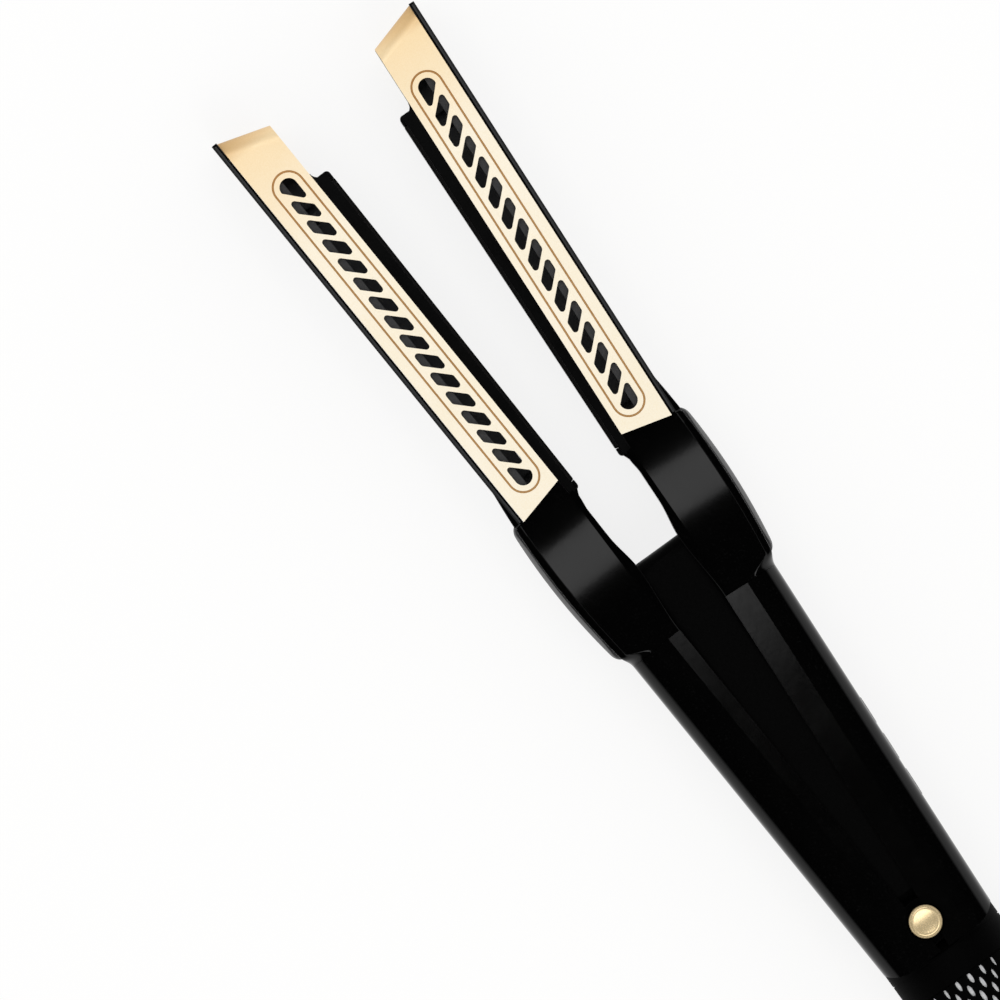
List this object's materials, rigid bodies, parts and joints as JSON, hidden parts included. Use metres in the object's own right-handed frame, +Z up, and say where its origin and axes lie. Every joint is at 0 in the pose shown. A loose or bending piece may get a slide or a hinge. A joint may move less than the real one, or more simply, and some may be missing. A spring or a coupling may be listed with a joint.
{
  "type": "hair straightener",
  "caption": "Air-vented hair straightener lying open: two gold-panelled arms with floating plates hinge on a round tail with a grille.",
  "frame": {"origin": "on the hinge axis, at the surface that the straightener lies on, in the middle of the rear hinge cap's flat face", "axes": "+X from the tail to the tips, +Y towards the left arm, +Z up, along the hinge axis and out of the front face"},
  "size_m": [0.3456, 0.0648, 0.035],
  "materials": {
    "black_gloss": "gloss",
    "black_satin": "satin",
    "core_matte": "matte",
    "grey_plastic": "satin",
    "champagne_metal": "satin metallic",
    "plate_coating": "smooth ceramic coat on aluminium",
    "steel": "brushed",
    "silicone": "matte",
    "lead_sleeve": "matte",
    "ceramic": "fired alumina, white",
    "mica_sheet": "satin",
    "circuit_board": "satin",
    "lens": "smoked",
    "filter_mesh": "woven"
  },
  "bodies": {
    "root": {"core_front_shell": "core_matte", "core_rear_shell": "core_matte", "core_screws": "steel", "power_board": "circuit_board", "pivot_pin": "steel", "front_pivot_cap": "champagne_metal", "rear_pivot_cap": "champagne_metal", "hinge_washers": "grey_plastic", "opening_spring": "steel", "tail_housing": "black_gloss", "grille_sleeve": "black_satin", "filter_sleeve": "filter_mesh", "filter_cage": "grey_plastic", "motor_mounts": "silicone", "fan_motor": "steel", "tail_end_cap": "black_gloss", "gland_retainer": "grey_plastic"},
    "left_arm": {"left_handle_shell": "black_gloss", "left_arm_frame": "black_gloss", "left_front_panel": "champagne_metal", "left_rear_panel": "champagne_metal", "left_air_duct": "grey_plastic", "left_plate_carrier": "black_satin", "left_tip_cap": "black_gloss", "left_thumb_pad": "black_satin", "left_arm_screws": "steel", "left_heater_leads": "lead_sleeve", "left_plate_cushions": "silicone"},
    "right_arm": {"right_handle_shell": "black_gloss", "right_arm_frame": "black_gloss", "right_front_panel": "champagne_metal", "right_rear_panel": "champagne_metal", "right_air_duct": "grey_plastic", "right_plate_carrier": "black_satin", "right_tip_cap": "black_gloss", "right_thumb_pad": "black_satin", "right_arm_screws": "steel", "right_heater_leads": "lead_sleeve", "right_plate_cushions": "silicone", "control_panel": "black_gloss", "display_lens": "lens", "display_module": "ceramic", "control_board": "circuit_board", "button_switches": "steel"},
    "left_plate": {"left_heater_plate": "plate_coating", "left_heater_element": "ceramic", "left_insulator_sheet": "mica_sheet", "left_heat_fuse": "steel"},
    "right_plate": {"right_heater_plate": "plate_coating", "right_heater_element": "ceramic", "right_insulator_sheet": "mica_sheet", "right_heat_fuse": "steel"},
    "power_key": {"power_button": "black_satin"},
    "heat_key": {"heat_button": "black_satin"},
    "air_key": {"air_button": "black_satin"},
    "fan": {"motor_shaft": "steel", "impeller": "grey_plastic"},
    "gland": {"cord_gland": "black_satin"}
  },
  "joints": [
    {"name": "left_arm_hinge", "type": "hinge", "parent": "root", "child": "left_arm", "pos_m": [0, 0, 0.0172], "axis": [0, 0, 1], "range_deg": [-2.57, 0], "stiffness_Nm_per_rad": 2, "springref_deg": 9.74, "deforming": ["opening_spring"]},
    {"name": "right_arm_hinge", "type": "hinge", "parent": "root", "child": "right_arm", "pos_m": [0, 0, 0.0172], "axis": [0, 0, 1], "range_deg": [0, 2.57], "stiffness_Nm_per_rad": 2, "springref_deg": -9.74, "deforming": ["opening_spring"]},
    {"name": "left_plate_float", "type": "slide", "parent": "left_arm", "child": "left_plate", "axis": [-0.0448, 0.999, 0], "range_m": [0, 0.0008], "stiffness_N_per_m": 2000, "springref_m": -0.0004, "deforming": ["left_plate_cushions"]},
    {"name": "right_plate_float", "type": "slide", "parent": "right_arm", "child": "right_plate", "axis": [-0.0448, -0.999, 0], "range_m": [0, 0.0008], "stiffness_N_per_m": 2000, "springref_m": -0.0004, "deforming": ["right_plate_cushions"]},
    {"name": "power_press", "type": "slide", "parent": "right_arm", "child": "power_key", "axis": [0.0556, 0.9985, 0], "range_m": [0, 0.0006], "stiffness_N_per_m": 300, "springref_m": -0.0015},
    {"name": "heat_press", "type": "slide", "parent": "right_arm", "child": "heat_key", "axis": [0.0556, 0.9985, 0], "range_m": [0, 0.0006], "stiffness_N_per_m": 300, "springref_m": -0.0015},
    {"name": "air_press", "type": "slide", "parent": "right_arm", "child": "air_key", "axis": [0.0556, 0.9985, 0], "range_m": [0, 0.0006], "stiffness_N_per_m": 300, "springref_m": -0.0015},
    {"name": "fan_spin", "type": "hinge", "parent": "root", "child": "fan", "pos_m": [-0.03, 0, 0.0172], "axis": [1, 0, 0], "continuous": true},
    {"name": "gland_swivel", "type": "hinge", "parent": "root", "child": "gland", "pos_m": [-0.072, 0, 0.0172], "axis": [1, 0, 0], "continuous": true}
  ],
  "couplings": [
    {"joint": "right_arm_hinge", "follows": "left_arm_hinge", "ratio": -1}
  ]
}
